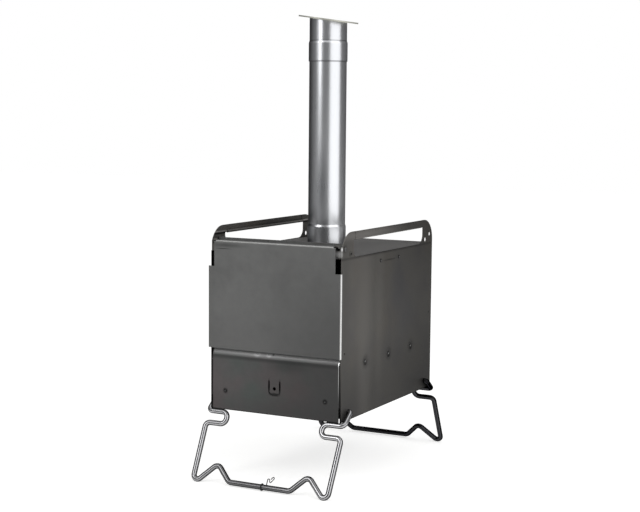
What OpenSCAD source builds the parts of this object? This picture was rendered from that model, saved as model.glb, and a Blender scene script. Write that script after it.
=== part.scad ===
// Folding tent stove: a sheet steel firebox on two bent wire leg frames,
// with a top hinged door, a sunken cook plate and a short sectional flue.
// Origin: on the ground, midway between the leg frames and the side panels.
// The door faces -Y, height is +Z, and all sizes are in millimetres.

/* [Firebox body] */
// Outside width across the two side panels
body_w = 265; // [230:1:320]
// Depth of the side panels from front edge to rear edge
body_d = 396; // [360:1:480]
// Height of the side panels, from bottom edge to the top of the handles
body_h = 333.5; // [328:0.5:360]
// Height of the body's bottom edge above the ground
leg_clear = 125; // [110:1:160]
// Thickness of the body sheet
sheet = 1.5; // [1.2:0.1:1.8]
// Outer radius of the bends in the sheet
bend_r = 2.5; // [2.2:0.1:3.5]
// Radius of the upper corners of the side panels
corner_r = 39; // [25:1:42]
// Gap left under or beside a piece that lifts, slides or swings
seat_gap = 0.3; // [0.2:0.05:0.5]
// Radial clearance of a pin that turns in its hole
pin_fit = 0.06; // [0.03:0.01:0.09]

/* [Handles] */
// Distance from a panel's front or rear edge to the handle slot
slot_in = 46; // [46:0.5:60]
// Radius of the front lower corner of the handle slot
slot_low_r = 12; // [6:1:14]
// Radius of the rear lower corner of the handle slot
slot_rear_r = 18; // [12:1:20]
// Radius of the two upper corners of the handle slot
slot_high_r = 3; // [2:0.5:6]
// Height of the handle bar
bar_h = 15; // [12:0.5:17]
// Distance from the panel's edge to the folded hem of the bar
hem_in = 53; // [53:1:80]
// Outer radius of the folded hem
hem_r = 2.6; // [2.4:0.1:3.2]
// How far the hemmed bar bows out from the panel
hem_bow = 0.6; // [0.3:0.1:0.9]
// Height of the hem's free edge above its fold
hem_lip = 6; // [5:0.5:9]

/* [Cook plate] */
// Depth of the cook plate's top below the side panels' top
plate_drop = 46.2; // [44:0.1:54]
// Thickness of the cook plate
plate_t = 1.8; // [1.5:0.1:3]
// Distance of the cook plate's front edge from the body's front
plate_in = 14.5; // [10:0.5:24]
// Gap beside the cook plate at each side panel
plate_side_gap = 0.5; // [0.4:0.1:1.5]
// Height of the brackets that carry the cook plate
bracket_h = 26; // [24:0.5:32]
// Width of the bracket flanges
bracket_flange = 16.5; // [12:0.5:20]
// Length of the brackets
bracket_len = 300; // [200:5:310]
// Distance from mid depth to each bracket rivet
bracket_rivet_y = 40; // [25:1:60]

/* [Front rail] */
// Distance of the rail's front face from the body's front
rail_in = 20.5; // [20:0.1:22]
// Height of the rail's top edge above the hinge axis
rail_rise = 8.5; // [4:0.5:9]
// Length of the rail's end flanges
rail_flange = 24; // [23:0.5:30]
// Distance of the tube rivet holes from the panel's edge
eyelet_in = 34; // [33:0.5:36]
// Height of the tube rivet holes above the cook plate
eyelet_rise = 7.7; // [7:0.1:9]
// Diameter of the tube rivets' shank
eyelet_d = 8.5; // [6:0.1:8.6]
// Bore of the tube rivets
eyelet_bore = 4.6; // [3:0.1:5]

/* [Door] */
// How far the door's face stands in front of the body
door_out = 6; // [5:0.1:8]
// Overhang of the door's wide part past each side panel
door_over = 2.7; // [2.2:0.1:4]
// Height of the door's bottom edge above the body's bottom edge
door_low = 113.5; // [108:0.5:114.5]
// Height of the shoulders where the door narrows
door_shoulder = 262.4; // [250:0.1:270]
// Inset of the door's narrow part from each side panel's outer face
door_neck_in = 10; // [9:0.1:11]
// Inset of the hinge curl from each side panel's outer face
curl_in = 14; // [13.6:0.1:16]
// Distance of the hinge axis from the body's front edge
hinge_in = 13.4; // [13:0.1:14]
// Height of the hinge axis above the cook plate
hinge_rise = 17.2; // [16.5:0.1:17.6]
// Diameter of the hinge rod
rod_d = 7.8; // [6:0.1:8]
// How far the rod's ends stand out of the side panels
rod_out = 1.2; // [0.5:0.1:3]
// Length of the bevel on the rod's ends
rod_bevel = 0.8; // [0.4:0.1:1.2]
// Outer diameter of the rod's retaining clips
clip_d = 12.5; // [11:0.1:14]
// Thickness of the rod's retaining clips
clip_t = 1.2; // [0.8:0.1:1.5]

/* [Ears] */
// Width of the ears folded in at the side panels' front edges
ear_w = 12.9; // [12:0.1:13.2]
// Height of the ears
ear_h = 22; // [20:0.5:24]
// Outer radius of the fold at the ears
ear_fold_r = 3; // [2.5:0.1:3.5]
// Radius of the ears' upper outer corners
ear_round = 3.5; // [2:0.5:4]
// Width of the metal between the ear's notch and its fold
ear_web = 1.5; // [1:0.1:3]
// Height of the notch that lets the rod be seen
ear_notch_h = 6.5; // [4:0.5:8]

/* [Lower front] */
// Height of the front panel's flat face
front_h = 101; // [96:0.5:102]
// Height of the lip that leans back above the front panel
lip_h = 14; // [12:0.5:16]
// How far the lip leans back
lip_back = 7; // [4:0.5:9]
// Length of the front and back panels' end flanges
end_flange = 15; // [10:0.5:20]
// Height of the floor tray's front and rear flanges
tray_h = 45; // [41:1:55]
// Height of the floor tray's side flanges
tray_side_h = 20; // [15:1:30]
// Distance of the front and back panels' rivets from the body's sides
panel_rivet_in = 30.5; // [27:0.5:50]
// Height of the panel rivets
panel_rivet_z = 35; // [30:1:37]
// Width of the spring tongue, to the middle of its slot
tongue_w = 22; // [18:0.5:30]
// Height of the lower end of the tongue's slot
tongue_z = 38; // [34:0.5:42]
// Length of the tongue
tongue_h = 24; // [18:0.5:30]
// Width of the slot round the tongue
tongue_slot = 2.6; // [1.5:0.1:3]
// Radius of the slot's corners, to its middle
tongue_r = 5; // [3:0.5:7]
// Diameter of the hole in the tongue
tongue_hole_d = 6.5; // [4:0.1:7]
// Diameter of the small hole at the side panels' front edge
pilot_d = 3.5; // [3:0.1:5]
// Height of the small hole
pilot_z = 121; // [119:1:130]

/* [Grate and baffle] */
// Height of the grate studs' axis
stud_z = 95; // [90:0.5:100]
// Distance between neighbouring grate studs
stud_pitch = 100; // [80:1:120]
// Diameter of the grate studs
stud_d = 5; // [4:0.1:6]
// Length of the grate studs inside the wall
stud_len = 10; // [8:0.5:14]
// Outer diameter of the dent round each stud
dent_d = 15; // [13:0.5:17]
// Depth of the dents
dent_depth = 1.1; // [0.8:0.1:1.2]
// Thickness of the grate
grate_t = 3; // [2:0.5:5]
// Gap between the grate and the side panels
grate_side_gap = 3.5; // [3:0.1:5]
// Gap between the grate and the front of the body
grate_end_gap = 14; // [11:0.5:20]
// Width of the slots in the grate
grate_slot = 9; // [7:0.5:12]
// Distance between neighbouring grate slots
grate_pitch = 20; // [18:0.5:28]
// Width of the solid rim and the middle bar of the grate
grate_rim = 14; // [10:0.5:20]
// Thickness of the baffle
baffle_t = 1.5; // [1.2:0.1:2.5]
// Gap between the baffle and the front of the body
baffle_front_gap = 100; // [95:1:130]
// Gap between the baffle and the rear of the body
baffle_rear_gap = 22; // [18:1:40]

/* [Flue] */
// Outside diameter of the flue pipe
pipe_d = 70; // [60:1:80]
// Wall of the flue pipe
pipe_t = 1; // [0.8:0.1:1.4]
// Radial clearance of one pipe inside the next
pipe_fit = 0.3; // [0.2:0.05:0.5]
// Length of a pipe's bell from its end to its shoulder
bell_len = 34; // [28:1:42]
// Length of the shoulder between bell and pipe
shoulder_len = 4; // [3:0.5:6]
// Gap between the lower bell's end and the cook plate
bell_lift = 5.7; // [4:0.1:8]
// Length of the lower pipe
lower_len = 375.2; // [300:0.2:420]
// Height of the flashing plate above the lower pipe's top
cap_rise = 43.8; // [40:0.1:60]
// Diameter of the flashing plate
cap_d = 112; // [104:1:130]
// Thickness of the flashing plate
cap_t = 2.5; // [2:0.1:4]
// Tilt of the flashing plate
cap_tilt = 8; // [0:0.5:10]
// Length of the flashing plate's spigot below the plate
cap_spigot = 22; // [18:1:24]
// Width of the collar's flange on the cook plate
collar_flange = 11; // [10:0.5:14]
// Thickness of the collar's flange
collar_t = 1.5; // [1:0.1:2]
// Number of rivets that hold the collar
collar_rivets_n = 4; // [3:1:8]

/* [Rivets] */
// Diameter of the body rivets' shank
rivet_d = 4; // [3:0.1:4.5]
// Diameter of the body rivets' head
rivet_head_d = 7; // [6.5:0.1:8]
// Height of the body rivets' head
rivet_head_h = 1.8; // [1.2:0.1:2.5]
// Diameter of the collar rivets' shank
small_rivet_d = 3; // [2.5:0.1:3.4]
// Diameter of the collar rivets' head
small_head_d = 6; // [5:0.1:7]
// Height of the collar rivets' head
small_head_h = 1.3; // [1:0.1:2]
// Clearance round a rivet's shank, on the radius
rivet_fit = 0.1; // [0.05:0.05:0.15]

/* [Leg frames] */
// Diameter of the leg bar
leg_bar_d = 10; // [8:0.5:11]
// Distance of the leg holes from the panel's front or rear edge
leg_in = 30; // [26:0.5:36]
// Height of the leg holes above the body's bottom edge
leg_hole_z = 15; // [13:0.5:18]
// Distance of the legs' upper bars from the body's front or rear edge
upper_in = 2.5; // [0:0.5:6]
// Tilt of the leg frames from upright
leg_tilt = 26.4; // [22:0.1:29]
// Length of the leg's pin inside the side panel
leg_pin = 17; // [10:0.5:24]
// Gap between the legs' cranks and the side panels
post_gap = 0.8; // [0.5:0.1:1.5]
// Gap between the legs' upper bars and the body's bottom edge
under_gap = 0.6; // [0.3:0.1:1.5]
// Bend radius where the cranks turn in under the body
under_r = 8; // [6:0.5:8.5]
// How far in the upper loop of the leg reaches
loop_in = 40.7; // [36:0.2:46]
// Height of the upper loop of the leg, between bar centres
loop_h = 22.4; // [21.8:0.1:26]
// Radius of the bends beside the side panel
post_r = 8.5; // [7:0.5:9]
// Radius of the upper loop
loop_r = 10.6; // [9:0.1:10.8]
// How far in the foot lies from the top of its post
foot_in = 1.9; // [0:0.1:4]
// Radius of the foot's bend
foot_r = 8.5; // [7:0.5:10]
// How far in the peak beside the foot lies
peak_in = 46.2; // [42:0.1:50]
// Radius of the peak's bend
peak_r = 10; // [8:0.5:13]
// Radius of the bends at the cross run
run_r = 12; // [8:0.5:16]
// Height of the cross run above the feet, along the frame
run_lift = 2.2; // [0:0.1:6]

/* [Keeper] */
// Distance of the keeper ring from the middle of the cross run
keeper_x = 6; // [2:0.5:8]
// Diameter of the keeper ring's wire
keeper_wire = 1.8; // [1.2:0.1:2.4]
// Distance of the lock clip from the middle of the cross run
lock_x = 14; // [13:0.5:20]
// Diameter of the lock clip's wire
lock_wire = 1.7; // [1.4:0.1:2]
// Height of the lock clip's eye above the run's centre
eye_up = 14; // [12:0.5:18]
// Distance from the eye's middle down to the bend at its foot
lock_foot = 6.5; // [6:0.1:8]
// Radius of the eye, to the middle of the wire
eye_r = 1.9; // [1.7:0.1:2.6]
// Length of the lock clip's long loop, between its end centres
lock_loop = 9.5; // [7:0.5:13]
// Half width of the long loop, to the middle of the wire
lock_loop_r = 1.9; // [1.7:0.1:2.6]
// Lean of the long loop from the cross run
lock_lean = 55; // [40:1:70]

/* [Hidden] */
$fn = 64;
// Segments in each quarter turn of a drawn outline
quarter_steps = 10;
// Overlap where two features of one piece are merged
lap = 1;
// Length that carries a cut clear of the sheet it passes
past = 2;
// Flat sides round the leg bar, and the turn between its rings along a bend
bar_sides = 20;
bend_step = 15;
// Length of the round leg pins outside the side panels
leg_hole_past = 0.1;
// How far the bent bar's surface lies inside the round pins' surface
bar_step = 0.01;

wall_x = body_w / 2 - sheet;
mid_y = body_d / 2;
plate_h = body_h - plate_drop;
plate_under = plate_h - plate_t;
slot_bottom = plate_h + seat_gap + 0.4;
hem_bottom = body_h - bar_h;
slot_top = hem_bottom + sheet;
hinge_z = plate_h + hinge_rise;
eyelet_z = plate_h + eyelet_rise;
curl_bore_r = rod_d / 2 + pin_fit;
curl_r = curl_bore_r + sheet;
door_top = hinge_z + curl_r;
ear_top = hinge_z + curl_r + past;
ear_bottom = ear_top - ear_h;
rod_groove_r = rod_d / 2 - 0.7;
clip_seat_x = wall_x - seat_gap - clip_t;
dent_low_d = dent_d - 7;
bracket_top = plate_under - seat_gap;
bracket_low = bracket_top - bracket_h;
bracket_rivet_z = bracket_top - bracket_h / 2;
flange_low_z = leg_hole_z + leg_bar_d / 2 + 6;
grate_low = stud_z + stud_d / 2 + seat_gap;
baffle_low = bracket_low + sheet + seat_gap;
bell_id_r = pipe_d / 2 + pipe_fit;
lower_z = plate_h + bell_lift;
lower_top = lower_z + lower_len;
upper_z = lower_top + seat_gap - bell_len;
cap_z = lower_top + cap_rise;
cap_tube_r = pipe_d / 2 - pipe_t - pipe_fit;
cap_wall = 1.2;
collar_r = pipe_d / 2 + collar_flange;
collar_rivet_r = collar_r - small_head_d / 2 - 1.5;
leg_x = body_w / 2 + leg_bar_d / 2 + post_gap;
upper_bar_z = -leg_bar_d / 2 - under_gap;
crank_len = norm([leg_in - upper_in, leg_hole_z - upper_bar_z]);
crank_lean = atan2(leg_in - upper_in, leg_hole_z - upper_bar_z) - leg_tilt;
foot_drop = (leg_clear + upper_bar_z - leg_bar_d / 2) / cos(leg_tilt);

// Points on an arc round c with radius r, from angle a0 to angle a1
function arc(c, r, a0, a1) =
    let (steps = max(2, ceil(abs(a1 - a0) / 90 * quarter_steps)))
    [for (i = [0:steps]) let (a = a0 + (a1 - a0) * i / steps) c + r * [cos(a), sin(a)]];

// Outline of a sheet bent up at both ends: flat of width w, flanges of depth d
function channel(w, d, t, r) = concat(
    [[-w / 2, d]],
    arc([-w / 2 + r, r], r, 180, 270),
    arc([w / 2 - r, r], r, 270, 360),
    [[w / 2, d], [w / 2 - t, d]],
    arc([w / 2 - r, r], r - t, 360, 270),
    arc([-w / 2 + r, r], r - t, 270, 180),
    [[-w / 2 + t, d]]);

// Places what is drawn from the body's front bottom edge into the stove's frame
module in_body() {
    translate([0, -mid_y, leg_clear]) children();
}

// Repeats a shape on the left of the stove
module both_sides() {
    children();
    mirror([1, 0, 0]) children();
}

// Repeats a shape drawn at the front of the body at its rear
module both_ends() {
    children();
    translate([0, body_d, 0]) mirror([0, 1, 0]) children();
}

// Turns a sketch of depth and height into a plate from x0 towards +X
module across(x0, len) {
    translate([x0, 0, 0]) rotate([90, 0, 90]) linear_extrude(len) children();
}

// Turns a sketch of width and height into a bar from depth y0 to depth y1
module along(y0, y1) {
    translate([0, y1, 0]) rotate([90, 0, 0]) linear_extrude(y1 - y0) children();
}

// Turns a sketch of width and depth into a plate from height z0 to height z1
module upright(z0, z1) {
    translate([0, 0, z0]) linear_extrude(z1 - z0) children();
}

// Cylinder along X that starts at x0
module cross_pin(x0, y, z, d, len) {
    translate([x0, y, z]) rotate([0, 90, 0]) cylinder(d = d, h = len);
}

// Cylinder along Y that starts at y0
module depth_pin(x, y0, z, d, len) {
    translate([x, y0, z]) rotate([-90, 0, 0]) cylinder(d = d, h = len);
}

// Domed cap of diameter d and height h, standing on the XY plane
module dome(d, h) {
    ball = (d * d / 4 + h * h) / (2 * h);
    intersection() {
        translate([0, 0, h - ball]) sphere(r = ball);
        cylinder(d = d, h = h);
    }
}

// Rivet along Z through a pack of sheets from z = 0 to z = grip, with two heads
module rivet(grip, d, head_d, head_h) {
    translate([0, 0, -lap / 2]) cylinder(d = d, h = grip + lap);
    translate([0, 0, grip]) dome(head_d, head_h);
    mirror([0, 0, 1]) dome(head_d, head_h);
}

function panel_outline() = concat(
    [[0, 0]],
    arc([corner_r, body_h - corner_r], corner_r, 180, 90),
    arc([body_d - corner_r, body_h - corner_r], corner_r, 90, 0),
    [[body_d, 0]]);

function slot_outline() = concat(
    arc([slot_in + slot_low_r, slot_bottom + slot_low_r], slot_low_r, 180, 270),
    arc([body_d - slot_in - slot_rear_r, slot_bottom + slot_rear_r], slot_rear_r, 270, 360),
    arc([body_d - slot_in - slot_high_r, slot_top - slot_high_r], slot_high_r, 0, 90),
    arc([slot_in + slot_high_r, slot_top - slot_high_r], slot_high_r, 90, 180));

// Section of the handle bar: sheet folded in and up along its lower edge
function hem_section() =
    let (out = body_w / 2 + hem_bow, c = [out - hem_r, hem_bottom + hem_r])
    concat(
        [[out - sheet, body_h], [out, body_h]],
        arc(c, hem_r, 0, -180),
        [[out - 2 * hem_r, hem_bottom + hem_lip], [out - 2 * hem_r + sheet, hem_bottom + hem_lip]],
        arc(c, hem_r - sheet, -180, 0));

// Ear folded in from the right panel's front edge, with its notch for the rod
module ear() {
    fold_x = body_w / 2 - ear_fold_r;
    ear_in = body_w / 2 - ear_w;
    difference() {
        union() {
            along(0, sheet) polygon(concat(
                [[ear_in, ear_bottom], [fold_x, ear_bottom]],
                arc([fold_x - ear_round, ear_top - ear_round], ear_round, 0, 90),
                [[ear_in, ear_top]]));
            upright(ear_bottom, ear_top - ear_round) polygon(concat(
                [[fold_x - lap, 0]],
                arc([fold_x, ear_fold_r], ear_fold_r, 270, 360),
                [[body_w / 2, ear_fold_r + lap], [wall_x, ear_fold_r + lap]],
                arc([fold_x, ear_fold_r], ear_fold_r - sheet, 360, 270),
                [[fold_x - lap, sheet]]));
        }
        along(-past, sheet + past) translate([ear_in - past, hinge_z - ear_notch_h / 3])
            square([ear_w - ear_fold_r - ear_web + past, ear_notch_h]);
    }
}

module dent_places() {
    for (k = [-1:1]) translate([0, mid_y + k * stud_pitch, stud_z]) children();
}

module side_panel() {
    difference() {
        union() {
            across(wall_x, sheet) difference() {
                polygon(panel_outline());
                polygon(slot_outline());
                translate([hem_in, slot_top - lap]) square([body_d - 2 * hem_in, body_h]);
                translate([-lap, ear_bottom]) square([lap + ear_fold_r, ear_h - ear_round]);
            }
            along(hem_in - lap, body_d - hem_in + lap) polygon(hem_section());
            ear();
            dent_places() translate([wall_x + sheet / 2, 0, 0]) rotate([0, -90, 0])
                cylinder(d1 = dent_d + sheet, d2 = dent_low_d + sheet, h = dent_depth + sheet / 2);
        }
        dent_places() translate([body_w / 2, 0, 0]) rotate([0, -90, 0]) {
            cylinder(d1 = dent_d, d2 = dent_low_d, h = dent_depth);
            cylinder(r = stud_d / 2 + rivet_fit, h = stud_len);
        }
        both_ends() {
            cross_pin(wall_x - past, hinge_in, hinge_z, rod_d + 2 * pin_fit, sheet + 2 * past);
            cross_pin(wall_x - past, eyelet_in, eyelet_z, eyelet_d + 2 * rivet_fit, sheet + 2 * past);
            cross_pin(wall_x - past, leg_in, leg_hole_z, leg_bar_d + 2 * pin_fit, sheet + 2 * past);
            cross_pin(wall_x - past, mid_y - bracket_rivet_y, bracket_rivet_z,
                rivet_d + 2 * rivet_fit, sheet + 2 * past);
        }
        cross_pin(wall_x - past, hinge_in, pilot_z, pilot_d, sheet + 2 * past);
    }
}

module side_panel_left() color("dimgray") in_body() mirror([1, 0, 0]) side_panel();

module side_panel_right() color("dimgray") in_body() side_panel();

module panel_rivet_places() {
    both_sides() translate([body_w / 2 - panel_rivet_in, 0, panel_rivet_z]) children();
}

module panel_rivet_holes() {
    panel_rivet_places() depth_pin(0, -past, 0, rivet_d + 2 * rivet_fit, 2 * sheet + 2 * past);
}

module floor_tray() color("dimgray") in_body() difference() {
    union() {
        across(-wall_x + leg_pin, 2 * (wall_x - leg_pin))
            translate([mid_y, 0]) polygon(channel(body_d - 2 * sheet, tray_h, sheet, bend_r));
        along(leg_in + 2 * leg_bar_d, body_d - leg_in - 2 * leg_bar_d)
            polygon(channel(2 * wall_x, tray_side_h, sheet, bend_r));
    }
    both_ends() panel_rivet_holes();
}

// Sheet between the side panels, with flanges against them above the leg pins
module end_sheet(height) {
    flat_x = wall_x - bend_r;
    upright(0, height) translate([-flat_x, 0]) square([2 * flat_x, sheet]);
    upright(flange_low_z, height - past) polygon(channel(2 * wall_x, end_flange, sheet, bend_r));
}

module tongue_slot_outline() {
    outer = tongue_w / 2 + tongue_slot / 2;
    inner = tongue_w / 2 - tongue_slot / 2;
    outer_r = tongue_r + tongue_slot / 2;
    inner_r = tongue_r - tongue_slot / 2;
    corner_x = tongue_w / 2 - tongue_r;
    corner_z = tongue_z + tongue_r;
    polygon(concat(
        [[-outer, tongue_z + tongue_h]],
        arc([-corner_x, corner_z], outer_r, 180, 270),
        arc([corner_x, corner_z], outer_r, 270, 360),
        [[outer, tongue_z + tongue_h], [inner, tongue_z + tongue_h]],
        arc([corner_x, corner_z], inner_r, 360, 270),
        arc([-corner_x, corner_z], inner_r, 270, 180),
        [[-inner, tongue_z + tongue_h]]));
}

module front_panel() color("dimgray") in_body() difference() {
    lean = atan2(lip_back, lip_h);
    lip_x = wall_x - bend_r;
    union() {
        end_sheet(front_h);
        across(-lip_x, 2 * lip_x) polygon([
            [0, front_h - lap],
            [0, front_h],
            [lip_back, front_h + lip_h],
            [lip_back + sheet * cos(lean), front_h + lip_h - sheet * sin(lean)],
            [sheet, front_h - sheet * tan(lean / 2)],
            [sheet, front_h - lap]]);
    }
    panel_rivet_holes();
    along(-past, sheet + past) tongue_slot_outline();
    depth_pin(0, -past, tongue_z + 0.42 * tongue_h, tongue_hole_d, sheet + 2 * past);
}

module back_panel() color("dimgray") in_body() translate([0, body_d, 0]) mirror([0, 1, 0]) difference() {
    end_sheet(bracket_top);
    panel_rivet_holes();
}

module front_rail() color("dimgray") in_body() difference() {
    translate([0, rail_in, 0]) upright(slot_bottom, hinge_z + rail_rise)
        polygon(channel(2 * wall_x, rail_flange, sheet, bend_r));
    both_sides() cross_pin(wall_x - sheet - past, eyelet_in, eyelet_z,
        eyelet_d + 2 * rivet_fit, sheet + 2 * past);
}

// Tube rivet that ties each end of the front rail to its side panel
module rail_eyelets() color("silver") in_body() both_sides()
    translate([wall_x - sheet, eyelet_in, eyelet_z]) rotate([0, 90, 0]) difference() {
        union() {
            cylinder(d = eyelet_d, h = 2 * sheet);
            translate([0, 0, 2 * sheet]) cylinder(d = eyelet_d + 1.6, h = 0.6);
            mirror([0, 0, 1]) cylinder(d = eyelet_d + 1.6, h = 0.6);
        }
        translate([0, 0, -past]) cylinder(d = eyelet_bore, h = 2 * sheet + 2 * past);
    }

module bracket_rivet_places() {
    for (y = [mid_y - bracket_rivet_y, mid_y + bracket_rivet_y])
        translate([wall_x - sheet, y, bracket_rivet_z]) rotate([0, 90, 0]) children();
}

module plate_bracket() {
    difference() {
        along(mid_y - bracket_len / 2, mid_y + bracket_len / 2)
            translate([wall_x, bracket_rivet_z]) rotate([0, 0, 90])
                polygon(channel(bracket_h, bracket_flange, sheet, bend_r));
        bracket_rivet_places() translate([0, 0, -past])
            cylinder(d = rivet_d + 2 * rivet_fit, h = sheet + 2 * past);
    }
}

module plate_bracket_left() color("dimgray") in_body() mirror([1, 0, 0]) plate_bracket();

module plate_bracket_right() color("dimgray") in_body() plate_bracket();

module bracket_rivets() color("silver") in_body() both_sides() bracket_rivet_places()
    rivet(2 * sheet, rivet_d, rivet_head_d, rivet_head_h);

module front_rivets() color("gray") in_body() panel_rivet_places() rotate([-90, 0, 0])
    rivet(2 * sheet, rivet_d, rivet_head_d, rivet_head_h);

module back_rivets() color("gray") in_body() translate([0, body_d, 0]) mirror([0, 1, 0])
    panel_rivet_places() rotate([-90, 0, 0])
        rivet(2 * sheet, rivet_d, rivet_head_d, rivet_head_h);

// Studs with a domed head in each dent and a collar against the wall inside
module grate_studs() color("silver") in_body() both_sides() dent_places()
    translate([body_w / 2 - dent_depth, 0, 0]) rotate([0, -90, 0]) {
        cylinder(d = stud_d, h = sheet + stud_len);
        translate([0, 0, sheet]) cylinder(d = stud_d + 3, h = sheet);
        mirror([0, 0, 1]) dome(stud_d + 1.4, dent_depth + 0.3);
    }

module grate() color("darkslategray") in_body() {
    half_w = wall_x - grate_side_gap;
    slot_w = half_w - 1.5 * grate_rim;
    run = body_d - 2 * (grate_end_gap + grate_rim) - grate_slot;
    last = floor(run / grate_pitch);
    upright(grate_low, grate_low + grate_t) difference() {
        translate([-half_w, grate_end_gap]) square([2 * half_w, body_d - 2 * grate_end_gap]);
        for (i = [0:last], side = [-1, 1])
            translate([side * (half_w / 2 - grate_rim / 4), mid_y + (i - last / 2) * grate_pitch])
                square([slot_w, grate_slot], center = true);
    }
}

module baffle() color("darkslategray") in_body() {
    half_w = wall_x - sheet - 2 * bend_r + sheet;
    upright(baffle_low, baffle_low + baffle_t)
        translate([-half_w, baffle_front_gap])
            square([2 * half_w, body_d - baffle_front_gap - baffle_rear_gap]);
}

module collar_rivet_places() {
    for (i = [0:collar_rivets_n - 1])
        translate([0, mid_y, 0]) rotate([0, 0, (i + 0.5) * 360 / collar_rivets_n])
            translate([collar_rivet_r, 0, plate_under]) children();
}

module cook_plate() color("gray") in_body() difference() {
    half_w = wall_x - plate_side_gap;
    upright(plate_under, plate_h)
        translate([-half_w, plate_in]) square([2 * half_w, body_d - plate_in]);
    translate([0, mid_y, plate_under - past])
        cylinder(r = pipe_d / 2 - pipe_t, h = plate_t + 2 * past);
    collar_rivet_places() translate([0, 0, -past])
        cylinder(d = small_rivet_d + 2 * rivet_fit, h = plate_t + 2 * past);
}

module flue_collar() color("silver") in_body() difference() {
    translate([0, mid_y, plate_h]) rotate_extrude() polygon([
        [pipe_d / 2 - pipe_t, 0],
        [collar_r, 0],
        [collar_r, collar_t],
        [pipe_d / 2, collar_t],
        [pipe_d / 2, bell_lift + bell_len - seat_gap],
        [pipe_d / 2 - pipe_t, bell_lift + bell_len - seat_gap]]);
    collar_rivet_places()
        cylinder(d = small_rivet_d + 2 * rivet_fit, h = plate_t + collar_t + past);
}

module collar_rivets() color("silver") in_body() collar_rivet_places()
    rivet(plate_t + collar_t, small_rivet_d, small_head_d, small_head_h);

// Hinged door: a panel with side flanges, a narrower neck and a curl round the rod
module door() color("gray") in_body() {
    curl_x = body_w / 2 - curl_in;
    neck_x = body_w / 2 - door_neck_in;
    face = -door_out;
    upright(door_low, door_shoulder) translate([0, face])
        polygon(channel(body_w + 2 * door_over, door_out - seat_gap, sheet, bend_r));
    upright(door_shoulder - lap, door_top - bend_r)
        translate([-neck_x, face]) square([2 * neck_x, sheet]);
    across(-curl_x, 2 * curl_x) polygon(concat(
        [[face + sheet, door_shoulder], [face, door_shoulder]],
        arc([face + bend_r, door_top - bend_r], bend_r, 180, 90),
        [[hinge_in, door_top], [hinge_in, door_top - sheet]],
        arc([face + bend_r, door_top - bend_r], bend_r - sheet, 90, 180)));
    translate([-curl_x, hinge_in, hinge_z]) rotate([90, 0, 90]) rotate([0, 0, 180])
        rotate_extrude(angle = 270) translate([curl_bore_r, 0]) square([sheet, 2 * curl_x]);
}

module hinge_rod() color("silver") in_body() {
    tip = body_w / 2 + rod_out;
    difference() {
        union() {
            cross_pin(-tip + rod_bevel, hinge_in, hinge_z, rod_d, 2 * (tip - rod_bevel));
            both_sides() translate([tip - rod_bevel, hinge_in, hinge_z]) rotate([0, 90, 0])
                cylinder(d1 = rod_d, d2 = rod_d - 2 * rod_bevel, h = rod_bevel);
        }
        both_sides() translate([clip_seat_x - pin_fit, hinge_in, hinge_z]) rotate([0, 90, 0])
            difference() {
                cylinder(d = rod_d + past, h = clip_t + 2 * pin_fit);
                translate([0, 0, -past]) cylinder(r = rod_groove_r, h = clip_t + 2 * past);
            }
    }
}

// Open ring clips in the rod's grooves, just inside the side panels
module rod_clips() color("silver") in_body() both_sides()
    translate([clip_seat_x, hinge_in, hinge_z]) rotate([0, 90, 0]) difference() {
        cylinder(d = clip_d, h = clip_t);
        translate([0, 0, -past]) cylinder(r = rod_groove_r + pin_fit, h = clip_t + 2 * past);
        translate([0, -rod_groove_r / 2, -past]) cube([clip_d, rod_groove_r, clip_t + 2 * past]);
    }

// A flat path is a list of [x, y, bend radius] corners. Heading of its stretch i:
function heading(path, i) = atan2(path[i + 1][1] - path[i][1], path[i + 1][0] - path[i][0]);

// Signed turn of the path at corner i, between -180 and 180
function turn(path, i) =
    let (a = heading(path, i) - heading(path, i - 1))
    a > 180 ? a - 360 : a < -180 ? a + 360 : a;

// Centre and heading of each ring round the bend at corner i
function bend_rings(path, i) =
    let (a = heading(path, i - 1), b = turn(path, i), r = path[i][2], side = sign(b),
         start = [path[i][0], path[i][1]] - r * tan(abs(b) / 2) * [cos(a), sin(a)],
         c = start + r * side * [-sin(a), cos(a)], steps = ceil(abs(b) / bend_step))
    [for (k = [0:steps]) let (h = a + b * k / steps) [c + r * side * [sin(h), -cos(h)], h]];

// Round bar along a flat path, as a ring of points at each end and along each bend. The part
// above y = 0 leans back by an angle about the X axis.
module bent_bar(path, d, lean = 0) {
    last = len(path) - 1;
    rings = concat(
        [[[path[0][0], path[0][1]], heading(path, 0)]],
        [for (i = [1:last - 1]) each bend_rings(path, i)],
        [[[path[last][0], path[last][1]], heading(path, last - 1)]]);
    points = [for (ring = rings, j = [0:bar_sides - 1])
        let (a = ring[0][1] > 0 ? lean : 0, b = j * 360 / bar_sides - a, h = ring[1],
             y = ring[0][1] + cos(h) * d / 2 * cos(b), z = d / 2 * sin(b))
        [ring[0][0] - sin(h) * d / 2 * cos(b), y * cos(a) + z * sin(a), z * cos(a) - y * sin(a)]];
    ends = len(rings) - 1;
    sides = [for (i = [0:ends - 1], j = [0:bar_sides - 1])
        let (k = (j + 1) % bar_sides, at = i * bar_sides)
        [at + j, at + bar_sides + j, at + bar_sides + k, at + k]];
    caps = [[for (j = [0:bar_sides - 1]) j], [for (j = [bar_sides - 1:-1:0]) ends * bar_sides + j]];
    polyhedron(points, concat(sides, caps));
}

// Places a shape drawn flat, with Y up the frame, on the front leg's upper bar
module on_front_leg() {
    translate([0, upper_in, upper_bar_z]) rotate([90 - leg_tilt, 0, 0]) children();
}

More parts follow.
